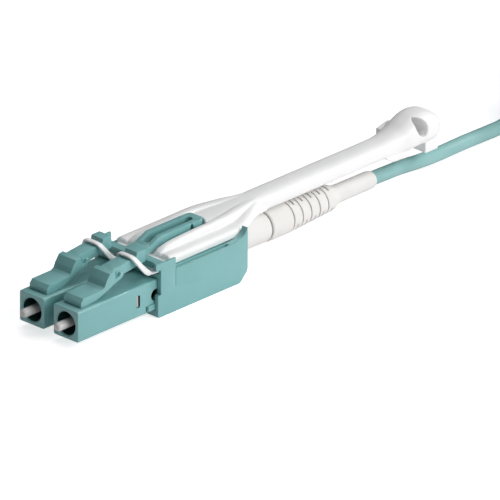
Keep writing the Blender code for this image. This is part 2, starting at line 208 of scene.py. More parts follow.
def moulded(name, colour, deeper, roughness, grain, specular=0.5, scatter=0.0, coat=0.0):
    """Moulded plastic: mottled colour, eroded-mould grain and faint flow marks."""
    material, nodes, links, shader = new_material(name)
    where = coordinates(nodes)
    mottle = noise(nodes, links, where, 260.0, 4.0)
    links.new(blended(nodes, links, mapped(nodes, links, mottle, 0.0, 1.0), colour, deeper),
              shader.inputs["Base Color"])
    polish = noise(nodes, links, where, 700.0, 3.0)
    links.new(mapped(nodes, links, polish, roughness - 0.05, roughness + 0.07), shader.inputs["Roughness"])
    fine = noise(nodes, links, where, 9000.0, 2.0)
    flow = noise(nodes, links, where, 350.0, 2.0)
    bumped(nodes, links, shader, [(flow, 0.04, 0.00006), (fine, grain, 0.00002)])
    shader.inputs["Specular IOR Level"].default_value = specular
    if scatter:
        shader.inputs["Subsurface Weight"].default_value = scatter
        shader.inputs["Subsurface Radius"].default_value = (1.0, 0.95, 0.9)
        shader.inputs["Subsurface Scale"].default_value = 0.0006
    shader.inputs["Coat Weight"].default_value = coat
    shader.inputs["Coat Roughness"].default_value = 0.12
    return material


def turned_metal(name, colour, roughness):
    """Plated metal with fine turning rings along Y and small stains."""
    material, nodes, links, shader = new_material(name)
    where = coordinates(nodes)
    stain = noise(nodes, links, where, 900.0, 4.0)
    darker = tuple(channel * 0.8 for channel in colour)
    links.new(blended(nodes, links, mapped(nodes, links, stain, 0.0, 1.0), colour, darker),
              shader.inputs["Base Color"])
    rings = nodes.new("ShaderNodeTexWave")
    rings.bands_direction = "Y"
    rings.inputs["Scale"].default_value = 2600.0
    rings.inputs["Distortion"].default_value = 1.5
    links.new(where, rings.inputs["Vector"])
    links.new(mapped(nodes, links, stain, roughness, roughness + 0.15), shader.inputs["Roughness"])
    bumped(nodes, links, shader, [(rings.outputs["Fac"], 0.15, 0.00001)])
    shader.inputs["Metallic"].default_value = 1.0
    return material


def ceramic(name):
    """Ground zirconia: faintly cloudy, with a polished gloss."""
    material, nodes, links, shader = new_material(name)
    where = coordinates(nodes)
    cloud = noise(nodes, links, where, 1200.0, 3.0)
    share = mapped(nodes, links, cloud, 0.0, 1.0)
    links.new(blended(nodes, links, share, (0.66, 0.65, 0.63), (0.56, 0.55, 0.54)), shader.inputs["Base Color"])
    links.new(mapped(nodes, links, cloud, 0.18, 0.3), shader.inputs["Roughness"])
    grind = noise(nodes, links, where, 12000.0, 2.0)
    bumped(nodes, links, shader, [(grind, 0.08, 0.00001)])
    shader.inputs["Coat Weight"].default_value = 0.4
    shader.inputs["Coat Roughness"].default_value = 0.1
    return material


def jacket(name):
    """Extruded cable jacket: soft gloss, faint dull patches and scuffs."""
    material, nodes, links, shader = new_material(name)
    where = coordinates(nodes)
    patch = noise(nodes, links, where, 180.0, 4.0)
    share = mapped(nodes, links, patch, 0.0, 1.0)
    links.new(blended(nodes, links, share, (0.275, 0.505, 0.495), (0.25, 0.475, 0.465)),
              shader.inputs["Base Color"])
    scuff = noise(nodes, links, where, 1500.0, 5.0, 0.7)
    links.new(mapped(nodes, links, scuff, 0.36, 0.52), shader.inputs["Roughness"])
    skin = noise(nodes, links, where, 2500.0, 3.0)
    bumped(nodes, links, shader, [(skin, 0.12, 0.00003)])
    shader.inputs["Coat Weight"].default_value = 0.15
    shader.inputs["Coat Roughness"].default_value = 0.35
    return material


def strap(name):
    """Woven hook-and-loop strap: crossed threads and a dull nap."""
    material, nodes, links, shader = new_material(name)
    where = coordinates(nodes)
    heights = []
    for direction in ("X", "Y", "Z"):
        thread = nodes.new("ShaderNodeTexWave")
        thread.bands_direction = direction
        thread.inputs["Scale"].default_value = 520.0
        thread.inputs["Distortion"].default_value = 0.8
        links.new(where, thread.inputs["Vector"])
        heights.append((thread.outputs["Fac"], 0.35, 0.00008))
    nap = noise(nodes, links, where, 5200.0, 4.0)
    heights.append((nap, 0.6, 0.00006))
    share = mapped(nodes, links, nap, 0.0, 1.0)
    links.new(blended(nodes, links, share, (0.025, 0.026, 0.028), (0.06, 0.062, 0.066)),
              shader.inputs["Base Color"])
    links.new(mapped(nodes, links, nap, 0.75, 0.95), shader.inputs["Roughness"])
    bumped(nodes, links, shader, heights)
    shader.inputs["Sheen Weight"].default_value = 0.3
    return material


def floor_material():
    """Pale table with a faint glow, stronger straight to the camera so that it stays near white."""
    material, nodes, links, shader = new_material("studio_floor")
    shader.inputs["Base Color"].default_value = (0.8, 0.775, 0.79, 1.0)
    shader.inputs["Roughness"].default_value = 0.9
    shader.inputs["Specular IOR Level"].default_value = 0.0
    shader.inputs["Emission Color"].default_value = (1.0, 1.0, 1.0, 1.0)
    ray = nodes.new("ShaderNodeLightPath")
    links.new(mapped(nodes, links, ray.outputs["Is Camera Ray"], 0.10, 0.68, 0.0, 1.0),
              shader.inputs["Emission Strength"])
    return material


# ------------------------------------------------------------- meshes, mm

def faced_out(mesh):
    bmesh.ops.recalc_face_normals(mesh, faces=mesh.faces)
    if mesh.calc_volume(signed=True) < 0:
        bmesh.ops.reverse_faces(mesh, faces=mesh.faces)
    return mesh


def prism(outline, axis, low, high):
    """Sweep a closed outline: 'x' takes (y, z) points, 'y' (x, z) and 'z' (x, y)."""
    mesh = bmesh.new()
    rings = []
    for level in (low, high):
        if axis == "x":
            ring = [mesh.verts.new((level, a, b)) for a, b in outline]
        elif axis == "y":
            ring = [mesh.verts.new((a, level, b)) for a, b in outline]
        else:
            ring = [mesh.verts.new((a, b, level)) for a, b in outline]
        mesh.faces.new(ring)
        rings.append(ring)
    count = len(outline)
    for i in range(count):
        j = (i + 1) % count
        mesh.faces.new((rings[0][i], rings[0][j], rings[1][j], rings[1][i]))
    return faced_out(mesh)


def box(low, high):
    corners = [(low[0], low[1]), (high[0], low[1]), (high[0], high[1]), (low[0], high[1])]
    return prism(corners, "z", low[2], high[2])


def turned(profile, x, z, closed=False, sides=48):
    """Turn (radius, y) points about a line along Y; closed profiles make sleeves."""
    mesh = bmesh.new()
    rings = []
    for radius, y in profile:
        if radius == 0:
            rings.append([mesh.verts.new((x, y, z))])
            continue
        ring = []
        for i in range(sides):
            angle = math.tau * (i + 0.5) / sides
            ring.append(mesh.verts.new((x + radius * math.cos(angle), y, z + radius * math.sin(angle))))
        rings.append(ring)
    pairs = list(zip(rings, rings[1:]))
    if closed:
        pairs.append((rings[-1], rings[0]))
    for first, second in pairs:
        for i in range(sides):
            j = (i + 1) % sides
            corners = [first[i % len(first)], first[j % len(first)],
                       second[j % len(second)], second[i % len(second)]]
            mesh.faces.new(list(dict.fromkeys(corners)))
    return faced_out(mesh)


def loft(sections):
    """Skin a row of sections with equal point counts and cap both ends."""
    mesh = bmesh.new()
    rings = [[mesh.verts.new(point) for point in section] for section in sections]
    for first, second in zip(rings, rings[1:]):
        for i in range(len(first)):
            j = (i + 1) % len(first)
            mesh.faces.new((first[i], first[j], second[j], second[i]))
    mesh.faces.new(rings[0])
    mesh.faces.new(rings[-1])
    return faced_out(mesh)


def arc(centre, radius, start, stop, steps):
    points = []
    for i in range(steps + 1):
        angle = math.radians(start + (stop - start) * i / steps)
        points.append((centre[0] + radius * math.cos(angle), centre[1] + radius * math.sin(angle)))
    return points


def filleted(corners, steps=5):
    """Closed outline from (a, b, radius) corners, with each corner rounded by its radius."""
    result = []
    count = len(corners)
    for i, (a, b, radius) in enumerate(corners):
        here = Vector((a, b))
        if radius <= 0:
            result.append((a, b))
            continue
        before = Vector(corners[i - 1][:2]) - here
        after = Vector(corners[(i + 1) % count][:2]) - here
        angle = before.angle(after)
        reach = min(radius / math.tan(angle / 2), before.length * 0.48, after.length * 0.48)
        start = here + before.normalized() * reach
        stop = here + after.normalized() * reach
        for k in range(steps + 1):
            t = k / steps
            point = start * (1 - t) ** 2 + here * 2 * t * (1 - t) + stop * t ** 2
            result.append((point.x, point.y))
    return result


def curved(points, count):
    """Even values along a Catmull-Rom curve through tuples of any length."""
    size = len(points[0])
    padded = [tuple(2 * points[0][k] - points[1][k] for k in range(size)), *points,
              tuple(2 * points[-1][k] - points[-2][k] for k in range(size))]
    result = []
    spans = len(points) - 1
    for n in range(count + 1):
        along = spans * n / count
        i = min(int(along), spans - 1)
        t = along - i
        p0, p1, p2, p3 = padded[i:i + 4]
        result.append(tuple(
            0.5 * (2 * p1[k] + (p2[k] - p0[k]) * t + (2 * p0[k] - 5 * p1[k] + 4 * p2[k] - p3[k]) * t ** 2
                   + (3 * p1[k] - p0[k] - 3 * p2[k] + p3[k]) * t ** 3) for k in range(size)))
    return result


def rounded_section(half_width, bottom, top, y, count=32, power=2.8, middle_x=0.0):
    """Points of a rounded oblong across the Y direction."""
    middle = (bottom + top) / 2
    half_height = (top - bottom) / 2
    points = []
    for i in range(count):
        angle = math.tau * (i + 0.5) / count
        c = math.cos(angle)
        s = math.sin(angle)
        x = middle_x + half_width * math.copysign(abs(c) ** (2 / power), c)
        z = middle + half_height * math.copysign(abs(s) ** (2 / power), s)
        points.append((x, y, z))
    return points


def tilted_oval(y, z, long, short, degrees, count=32):
    """Outline of an oval in the side view, its long axis tilted from Y."""
    tilt = math.radians(degrees)
    points = []
    for i in range(count):
        angle = math.tau * i / count
        u = long * math.cos(angle)
        v = short * math.sin(angle)
        points.append((y + u * math.cos(tilt) - v * math.sin(tilt),
                       z + u * math.sin(tilt) + v * math.cos(tilt)))
    return points


def mirrored(middle, near, far):
    """The stretch from near to far on each side of a middle, as (low, high) pairs."""
    return [(middle - far, middle - near), (middle + near, middle + far)]


# ------------------------------------------------------------- objects

def loose(mesh, name="work"):
    """Object made of a mesh under construction, which is used up."""
    data = bpy.data.meshes.new(name)
    mesh.to_mesh(data)
    mesh.free()
    item = bpy.data.objects.new(name, data)
    bpy.context.collection.objects.link(item)
    return item


def discard(item):
    data = item.data
    bpy.data.objects.remove(item, do_unlink=True)
    bpy.data.meshes.remove(data)


def bake(item):
    """Turn an object's modifiers into its mesh."""
    graph = bpy.context.evaluated_depsgraph_get()
    graph.update()
    data = bpy.data.meshes.new_from_object(item.evaluated_get(graph))
    old = item.data
    item.modifiers.clear()
    item.data = data
    bpy.data.meshes.remove(old)


def combine(item, meshes, operation):
    tools = [loose(mesh, "tool") for mesh in meshes]
    for tool in tools:
        modifier = item.modifiers.new("combine", "BOOLEAN")
        modifier.operation = operation
        modifier.solver = "EXACT"
        modifier.object = tool
    bake(item)
    for tool in tools:
        discard(tool)


def cut(item, *meshes):
    combine(item, meshes, "DIFFERENCE")


def weld(item, *meshes):
    combine(item, meshes, "UNION")


def soften(item, width, segments=3, degrees=32):
    """Round the sharp edges of a millimetre mesh."""
    modifier = item.modifiers.new("edges", "BEVEL")
    modifier.width = width
    modifier.segments = segments
    modifier.limit_method = "ANGLE"
    modifier.angle_limit = math.radians(degrees)
    modifier.miter_outer = "MITER_ARC"
    modifier.use_clamp_overlap = True
    bake(item)


def remesh(item, voxel, smoothing):
    """Fuse overlapping bodies into one skin and round its joins."""
    modifier = item.modifiers.new("fuse", "REMESH")
    modifier.mode = "VOXEL"
    modifier.voxel_size = voxel
    bake(item)
    modifier = item.modifiers.new("smooth", "SMOOTH")
    modifier.factor = 0.5
    modifier.iterations = smoothing
    bake(item)


def append(item, mesh):
    """Add a mesh to an object's own, before its faces and without joining them."""
    mesh.from_mesh(item.data)
    mesh.to_mesh(item.data)
    mesh.free()


def shade(item, degrees=35):
    item.data.shade_smooth()
    item.data.set_sharp_from_angle(angle=math.radians(degrees))


def place(item, piece, material, body="root", degrees=35, extra=()):
    """Copy a finished millimetre mesh to each end, standing for that end's CAD node."""
    shade(item, degrees)
    for end, where in ENDS.items():
        data = item.data.copy()
        data.transform(where @ TO_METRES)
        data.materials.append(material)
        for other in extra:
            data.materials.append(other)
        copy = bpy.data.objects.new(f"{end}_{piece}_look", data)
        bpy.context.collection.objects.link(copy)
        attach(copy, body if body == "root" else f"{end}_{body}")
        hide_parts(f"{end}_{piece}")
    discard(item)


# ------------------------------------------------------------- plug pieces

def plug_body(x):
    """Square plug with its front bore, side windows, rear notches and snap tongues."""
    half = PLUG_HALF
    corners = [(x - half, PLUG_FLOOR, 0.32), (x + half, PLUG_FLOOR, 0.32),
               (x + half, PLUG_TOP, 0.32), (x - half, PLUG_TOP, 0.32)]
    item = loose(prism(filleted(corners), "y", 0, PLUG_REAR))
    soften(item, 0.12, 2, 60)
    weld(item, turned([(0, 14.0), (2.05, 14.0), (2.05, 19.4), (0, 19.4)], x, PLUG_AXIS))
    tongue = filleted([(13.15, 1.15, 0.1), (14.6, 1.15, 0.1), (14.6, 1.95, 0.1), (13.15, 1.95, 0.1)], 2)
    weld(item, *[prism(tongue, "x", low, high) for low, high in mirrored(x, half - 0.2, half + 0.16)])
    bore = [(0, -1.0), (1.8, -1.0), (1.8, 0.0), (1.64, 0.16), (1.64, 8.2), (1.05, 8.2), (1.05, 10.2),
            (1.6, 10.2), (1.6, 20.4), (0, 20.4)]
    cut(item, turned(bore, x, PLUG_AXIS, sides=64))
    window = filleted([(11.0, 2.3, 0.12), (11.7, 2.3, 0.12), (11.7, 4.05, 0.12), (11.0, 4.05, 0.12)], 3)
    notch = arc((14.65, 3.15), 0.85, 0, 345, 23)
    for wall in (x - half, x + half):
        slot = box((wall - 0.4, 12.8, 1.15), (wall + 0.4, 13.05, 1.95))
        cut(item, prism(window, "x", wall - 0.9, wall + 0.9), slot, prism(notch, "x", wall - 0.9, wall + 0.9))
    return item


def finish_plug(item, x):
    """Add the spring leaves behind the side windows, mark them for their metal, and mark the inside of the bore
    for its dark painted shade.
    """
    body_faces = len(item.data.polygons)
    for low, high in mirrored(x, PLUG_HALF - 0.4, PLUG_HALF - 0.14):
        append(item, box((low, 11.17, 2.42), (high, 11.48, 3.95)))
    leaf_faces = len(item.data.polygons) - body_faces
    for face in item.data.polygons[:leaf_faces]:
        face.material_index = 2
    # Painted shade: faces inside the bore take the dark second material, which stands in for the shade deep in
    # the bore.
    for face in item.data.polygons[leaf_faces:]:
        reach = math.hypot(face.center.x - x, face.center.z - PLUG_AXIS)
        if 0.1 < face.center.y < PLUG_REAR and reach < 1.75:
            face.material_index = 1


def latch(x):
    """Cantilever arm: lipped root, locking shoulder, narrow tail and raised end."""
    root = filleted([(1.25, 5.36, 0), (2.6, 5.36, 0.5), (4.2, 5.55, 2.0), (6.8, 6.45, 0.8),
                     (7.75, 7.0, 0.2), (7.75, 8.45, 0.2), (7.5, 8.62, 0.15), (6.75, 8.5, 0.1),
                     (6.05, 7.55, 0.1), (5.72, 6.85, 0.3), (5.2, 6.6, 0.5), (1.72, 6.58, 0.05),
                     (1.25, 6.06, 0.05)])
    item = loose(prism(root, "x", x - 1.6, x + 1.6))
    tail = filleted([(6.6, 6.6, 0.2), (7.4, 6.98, 0.4), (9.5, 7.3, 1.0), (12.0, 7.62, 0.5),
                     (13.95, 7.85, 0.12), (13.95, 9.6, 0.12), (12.4, 9.6, 0.1), (12.28, 9.1, 0.1),
                     (11.95, 8.87, 0.12), (10.8, 8.87, 0.6), (8.6, 8.66, 1.0), (6.9, 8.45, 0.2)])
    flank = filleted([(6.6, 7.9, 0.1), (7.3, 7.15, 0.2), (8.3, 7.35, 0.1), (8.75, 7.75, 0.1), (8.6, 8.62, 0.1),
                      (6.9, 8.48, 0.1)], 3)
    web = filleted([(6.4, 6.35, 0.1), (8.4, 6.96, 0.3), (9.35, 7.35, 0.1), (9.35, 7.95, 0.15),
                    (8.9, 7.95, 0.1), (8.6, 7.5, 0.2), (7.4, 7.15, 0.3), (6.5, 7.3, 0.1)], 3)
    webs = [prism(web, "x", low, high) for low, high in mirrored(x, 0.9, 1.5)]
    weld(item, prism(tail, "x", x - 1.07, x + 1.07), prism(flank, "x", x - 1.09, x + 1.09), *webs)
    dimple = arc((8.05, 7.85), 0.36, 0, 345, 23)
    cut(item, *[prism(dimple, "x", low, high) for low, high in mirrored(x, 0.8, 1.6)])
    soften(item, 0.07, 3)
    return item


def ferrule(x):
    """Ceramic pin with a bevelled and slightly domed tip."""
    profile = [(0, -1.8), (0.38, -1.8), (0.46, -1.78), (0.6, -1.55), (0.625, -1.45), (0.625, 10.8), (0, 10.8)]
    return loose(turned(profile, x, PLUG_AXIS))


def ferrule_holder(x):
    """Metal nose, flange and tail that carry the ferrule."""
    profile = [(0.68, 9.0), (0.9, 9.0), (0.95, 9.1), (0.95, 10.35), (1.5, 10.35), (1.56, 10.45), (1.56, 12.25),
               (1.5, 12.35), (0.84, 12.35), (0.84, 16.0), (0.52, 16.0), (0.52, 11.0), (0.68, 11.0)]
    return loose(turned(profile, x, PLUG_AXIS, closed=True))


# ------------------------------------------------------------- housing pieces

def clip_housing():
    """Duplex body: plug pockets, bridge over the tab's strips, side walls and one rear post."""
    side_view = filleted([(HOUSING_FRONT, 0, 0.25), (30.0, 0, 0.8), (HOUSING_REAR, 1.5, 0.8),
                          (HOUSING_REAR, DECK_TOP, 0), (14.95, DECK_TOP, 0), (14.95, 3.2, 0),
                          (HOUSING_FRONT, 3.2, 0.15)])
    item = loose(prism(side_view, "x", -HOUSING_HALF, HOUSING_HALF))
    post = [(27.6, 5.9), (HOUSING_REAR, 5.9), (HOUSING_REAR, 7.6), (31.34, 7.5), (31.2, 7.15), (30.98, 6.85),
            (30.65, 6.6), (30.2, 6.38), (29.6, 6.2), (28.8, 6.1), (27.6, DECK_TOP + 0.01)]
    wall = [(14.95, 5.9), (17.75, 5.9), (17.75, 7.72), (14.95, 7.72)]
    bridge = [(-HOUSING_HALF, 15.75), (-HOUSING_HALF, 14.05), (-5.2, 14.5), (5.2, 14.5),
              (HOUSING_HALF, 14.05), (HOUSING_HALF, 15.75)]
    weld(item, prism(post, "x", 5.12, HOUSING_HALF), prism(wall, "x", -HOUSING_HALF, -5.78),
         prism(wall, "x", 5.78, HOUSING_HALF), prism(bridge, "z", 6.82, 7.75))
    pockets = []
    half = PLUG_HALF + 0.06
    for x in SIDES.values():
        pockets.append(box((x - half, 13.5, PLUG_FLOOR - 0.06), (x + half, PLUG_REAR + 0.06, PLUG_TOP + 0.06)))
        pockets += [box((low, 13.5, 6.5), (high, 16.3, 7.3)) for low, high in mirrored(x, 1.65, 2.6)]
        pockets.append(prism(arc((x, 7.3), 1.35, 0, 345, 23), "y", 13.0, 14.5))
    cut(item, *pockets)
    holes = [turned([(0, 15.0), (2.12, 15.0), (2.12, 17.0), (0, 17.0)], x, PLUG_AXIS) for x in SIDES.values()]
    cut(item, *holes)
    cut(item, box((-5.3, 16.7, 0.8), (5.3, 30.5, 5.25)))
    cut(item, turned([(0, 30.0), (1.62, 30.0), (1.62, 32.0), (0, 32.0)], 0, BOOT_AXIS))
    seams = [box((low, 17.72, 3.6), (high, 17.8, 6.5))
             for low, high in mirrored(0, HOUSING_HALF - 0.07, HOUSING_HALF + 0.5)]
    grooves = [box((low, 17.95, 5.75), (high, 28.2, 6.5)) for low, high in mirrored(0, 5.25, 5.85)]
    cut(item, *seams, *grooves)
    soften(item, 0.1, 3)
    return item


def lock_tongue():
    """Sprung loop: front root, two limbs with a slot between, notched rear pad."""
    side_view = filleted([(15.87, 6.85, 0.1), (17.6, 6.85, 1.0), (19.4, 7.25, 1.0), (28.1, 7.25, 0.3),
                          (28.5, 7.6, 0.3), (28.5, 8.3, 0.3), (28.1, 8.65, 0.3), (19.7, 8.65, 1.2),
                          (17.7, 7.7, 1.0), (15.87, 7.65, 0.15)])
    item = loose(prism(side_view, "x", -1.35, 1.35))
    cut(item, prism([(-0.62, 18.2), (0.62, 18.2)] + arc((0, 26.4), 0.62, 0, 180, 10), "z", 6.0, 9.5))
    notch = [(25.75, 8.7), (24.9, 7.0), (26.5, 7.0)]
    cut(item, *[prism(notch, "x", low, high) for low, high in mirrored(0, 0.85, 2.0)])
    rear = [(-3.0, 27.6), (-1.36, 27.6)] + arc((0, 27.15), 1.36, 180, 0, 16)[1:-1] + [
        (1.36, 27.6), (3.0, 27.6), (3.0, 30.0), (-3.0, 30.0)]
    cut(item, prism(rear, "z", 6.0, 9.5))
    soften(item, 0.1, 3)
    return item


def hoop(x):
    """Flat ribbon arched over one latch tail, from strip to strip."""
    right = [(0.0, 11.4, 9.25), (1.15, 11.45, 9.15), (1.75, 11.8, 8.5), (2.05, 12.25, 7.8),
             (2.15, 12.75, 7.2), (2.15, 13.3, 6.75), (2.12, 14.0, 6.5), (2.12, 16.4, 6.45)]
    left = [(-a, b, c) for a, b, c in reversed(right[1:])]
    route = [Vector((x + a, b, c)) for a, b, c in curved(left + right, 64)]
    half_thick = 0.17
    half_wide = 0.4
    ribbon = ((1, 0.5), (0.7, 1), (-0.7, 1), (-1, 0.5), (-1, -0.5), (-0.7, -1), (0.7, -1), (1, -0.5))
    sections = []
    for i, point in enumerate(route):
        before = route[max(i - 1, 0)]
        after = route[min(i + 1, len(route) - 1)]
        along = (after - before).normalized()
        lean = Vector((along.x, 0, along.z))
        over = Vector((-lean.z, 0, lean.x)).normalized() if lean.length > 0.2 else Vector((0, 0, 1))
        wide = along.cross(over).normalized()
        over = wide.cross(along).normalized()
        sections.append([point + wide * a * half_wide + over * b * half_thick for a, b in ribbon])
    return loft(sections)


# rows of the bar: y, half width, bottom, top
TAB_BAR = [(28.2, 2.5, 6.2, 8.12), (31.0, 2.45, 6.1, 8.15), (34.0, 2.25, 5.95, 8.2), (37.0, 2.05, 5.8, 8.25),
           (40.0, 2.0, 5.8, 8.3), (52.0, 2.0, 5.8, 8.3), (61.0, 2.0, 5.8, 8.3), (63.5, 2.05, 5.75, 8.4),
           (65.5, 2.15, 5.65, 8.9), (67.2, 2.4, 5.65, 9.65), (68.8, 2.55, 5.75, 10.25), (70.2, 2.6, 5.8, 10.4),
           (71.4, 2.5, 5.85, 10.2), (72.3, 2.25, 6.0, 9.75), (73.0, 1.85, 6.3, 9.2), (HEAD_REAR, 1.1, 6.9, 8.4)]
# rows of the ridges and of the flanges: y, middle x, half width, bottom, top
TAB_RIDGE = [(17.9, 2.42, 0.5, 6.4, 6.95), (18.3, 2.42, 0.62, 6.3, 7.4), (20.0, 2.42, 0.66, 6.2, 7.95),
             (24.0, 2.42, 0.66, 6.2, 8.2), (28.0, 2.42, 0.66, 6.2, 8.28), (31.0, 2.2, 0.75, 6.1, 8.3),
             (33.5, 1.75, 0.85, 6.0, 8.28), (36.5, 1.2, 0.8, 6.0, 8.25), (39.0, 0.8, 0.7, 6.0, 8.2)]
TAB_FLANGE = [(17.85, 4.1, 0.75, 6.1, 7.1), (18.1, 4.05, 0.95, 6.0, 7.3), (19.0, 4.0, 1.03, 6.0, 7.38),
              (27.0, 4.0, 1.03, 6.0, 7.38), (30.5, 4.0, 1.02, 6.0, 7.42), (32.3, 3.75, 1.0, 6.0, 7.5),
              (33.8, 3.2, 0.95, 6.0, 7.65), (35.5, 2.45, 0.9, 5.95, 7.85), (37.5, 1.5, 0.8, 5.9, 8.0),
              (39.5, 0.9, 0.7, 5.9, 8.0)]
# rows of the head's hole: x, growth towards its flared mouths
HOLE_ROWS = [(-5.0, 1.9), (-3.3, 1.5), (-2.5, 1.2), (-1.9, 1.04), (-1.2, 1.0), (1.2, 1.0), (1.9, 1.04),
             (2.5, 1.2), (3.3, 1.5), (5.0, 1.9)]


def leaning_oval(x, grow):
    """Outline of the head's hole at one X; the hole climbs towards +X."""
    return [(x, y, z + 0.25 * x) for y, z in tilted_oval(68.8, 8.45, 1.4 * grow, 0.78 * grow, -72)]


def pull_tab():
    """White tab: flanged plate, strips with hoops, ridges, bar and holed head with its feet."""
    waist = [(TAB_HALF, 31.2), (4.75, 32.3), (4.1, 33.5), (3.2, 34.7), (2.5, 36.2), (2.15, 38.0), (2.0, 39.5)]
    right = [(SLOT_HALF, 17.9), (TAB_HALF, 17.9)] + curved(waist, 24)
    left = [(-x, y) for x, y in reversed(right)]
    item = loose(prism(right + left + arc((0, 27.1), SLOT_HALF, 180, 0, 20), "z", 6.15, 6.95))
    strips = [(-5.6, 14.95), (5.6, 14.95), (5.6, 15.75), (4.5, 16.0), (4.5, 21.0), (-4.5, 21.0), (-4.5, 16.0),
              (-5.6, 15.75)]
    bodies = [prism(strips, "z", 6.2, 6.68)]
    for side in (-1, 1):
        for rows, power in ((TAB_RIDGE, 3.2), (TAB_FLANGE, 2.4)):
            sections = []
            for y, middle, half, low, high in curved(rows, 60):
                sections.append(rounded_section(half, low, high, y, 24, power, side * middle))
            bodies.append(loft(sections))
    bar = loose(loft([rounded_section(half, low, high, y, 48) for y, half, low, high in curved(TAB_BAR, 84)]))
    cut(bar, loft([leaning_oval(x, grow) for x, grow in HOLE_ROWS]))
    slot = [(-SLOT_HALF, 17.0), (SLOT_HALF, 17.0)] + arc((0, 27.1), SLOT_HALF, 0, 180, 20)
    cut(bar, prism(slot, "z", 6.75, 9.5))
    bodies.append(prism(filleted([(62.6, 6.0, 0.3), (63.8, 5.25, 0.6), (67.3, 5.05, 0.2), (67.3, 6.6, 0),
                                  (62.6, 6.6, 0)], 4), "x", -1.9, 1.9))
    bodies.append(prism([(70.05, 4.55), (72.5, 4.55), (72.5, 6.4), (70.05, 6.4)], "x", -1.95, 1.95))
    bodies.append(prism([(65.3, 7.2), (67.6, 7.2), (67.6, 8.9), (65.3, 8.4)], "x", -2.75, -1.5))
    for x in SIDES.values():
        bodies.append(hoop(x))
    for mesh in bodies:
        append(bar, mesh)
    whole = bmesh.new()
    whole.from_mesh(bar.data)
    append(item, whole)
    discard(bar)
    remesh(item, 0.09, 6)
    return item


# ------------------------------------------------------------- strain relief

def boot_collar():
    """Plain sleeve between the housing and the bend boot."""
    profile = [(1.85, 31.55), (2.08, 31.55), (2.15, 31.65), (2.15, 40.1), (2.08, COLLAR_REAR),
               (1.15, COLLAR_REAR), (1.15, 37.8), (1.85, 37.8)]
    return loose(turned(profile, 0, BOOT_AXIS, closed=True, sides=64))


def boot_radius(y):
    """Outer radius of the bend boot's body, tail and rounded end."""
    outline = [(BOOT_FRONT, 2.17), (BOOT_FRONT + 0.15, 2.28), (44.0, 2.28), (52.6, 1.88), (53.2, 1.78),
               (53.8, 1.5), (54.5, 1.29), (60.8, 1.26), (61.3, 1.2), (BOOT_REAR, 1.12)]
    for (y0, r0), (y1, r1) in zip(outline, outline[1:]):
        if y <= y1:
            return r0 + (r1 - r0) * (y - y0) / (y1 - y0)
    return outline[-1][1]


def slot_depth(y, angle):
    """Depth of the boot's cuts at one place; every second ring is turned a quarter round."""
    for ring in range(SLOT_RINGS):
        if abs(y - SLOT_FIRST - SLOT_PITCH * ring) < SLOT_HALF_WIDTH + 0.01:
            angle -= math.radians(20)
            from_bridge = 0.94 - abs(math.sin(angle)) if ring % 2 == 0 else 0.79 - abs(math.cos(angle))
            return SLOT_DEPTH * min(1.0, max(0.0, from_bridge / 0.05))
    return 0.0


def bend_boot():
    """Tapered sleeve whose body is cut by rings of slots, so that it bends."""
    sides = 96
    rows = [BOOT_FRONT, BOOT_FRONT + 0.15, 41.0, 42.5, 44.0]
    for ring in range(SLOT_RINGS):
        middle = SLOT_FIRST + SLOT_PITCH * ring
        rows += [middle - SLOT_HALF_WIDTH - 0.03, middle - SLOT_HALF_WIDTH,
                 middle + SLOT_HALF_WIDTH, middle + SLOT_HALF_WIDTH + 0.03]
    rows += [52.6, 52.9, 53.2, 53.5, 53.8, 54.1, 54.5, 56.0, 58.0, 60.0, 60.8, 61.1, 61.3, BOOT_REAR]
    angles = [math.tau * (i + 0.5) / sides for i in range(sides)]
    outline = [(y, [boot_radius(y) - slot_depth(y, angle) for angle in angles]) for y in rows]
    bore = [1.08] * sides
    mesh = bmesh.new()
    rings = []
    for y, radii in outline + [(BOOT_REAR, bore), (BOOT_FRONT, bore)]:
        rings.append([mesh.verts.new((radius * math.cos(angle), y, BOOT_AXIS + radius * math.sin(angle)))
                      for radius, angle in zip(radii, angles)])
    for first, second in zip(rings, rings[1:] + rings[:1]):
        for i in range(sides):
            j = (i + 1) % sides
            mesh.faces.new((first[i], first[j], second[j], second[i]))
    return loose(faced_out(mesh))


# ------------------------------------------------------------- cord

def hank_path():
    """Laps of the hank: up the inner column, over, and down the outer one."""
    steps = 32
    strand = HANK_FLOOR + CABLE_RADIUS
    rise = (HANK_HEIGHT - 2 * CABLE_RADIUS - 0.1) / HANK_LAPS
    far_fold = HANK_FOLD_NEAR + HANK_RUN
    route = []
    for n in range(int(2 * HANK_LAPS * steps) + 1):
        lap = n / steps
        past_top = lap - HANK_LAPS
        if abs(past_top) < 0.25:
            t = (past_top + 0.25) / 0.5
            radius = FOLD_INNER + LAP_PITCH * t * t * (3 - 2 * t)
            height = strand + rise * (HANK_LAPS - 0.125 - 2 * past_top ** 2)
        elif past_top < 0:
            radius = FOLD_INNER
            height = strand + rise * lap
        else:
            radius = FOLD_INNER + LAP_PITCH
            height = strand + rise * (2 * HANK_LAPS - lap)
        phase = 4 * (lap % 1.0)
        if phase < 1:
            x, y = -radius, HANK_FOLD_NEAR + HANK_RUN * phase
        elif phase < 2:
            angle = math.pi * (2 - phase)
            x, y = radius * math.cos(angle), far_fold + radius * math.sin(angle)
        elif phase < 3:
            x, y = radius, far_fold - HANK_RUN * (phase - 2)
        else:
            angle = math.pi * (3 - phase)
            x, y = radius * math.cos(angle), HANK_FOLD_NEAR + radius * math.sin(angle)
        route.append((x, y, height))
    return route


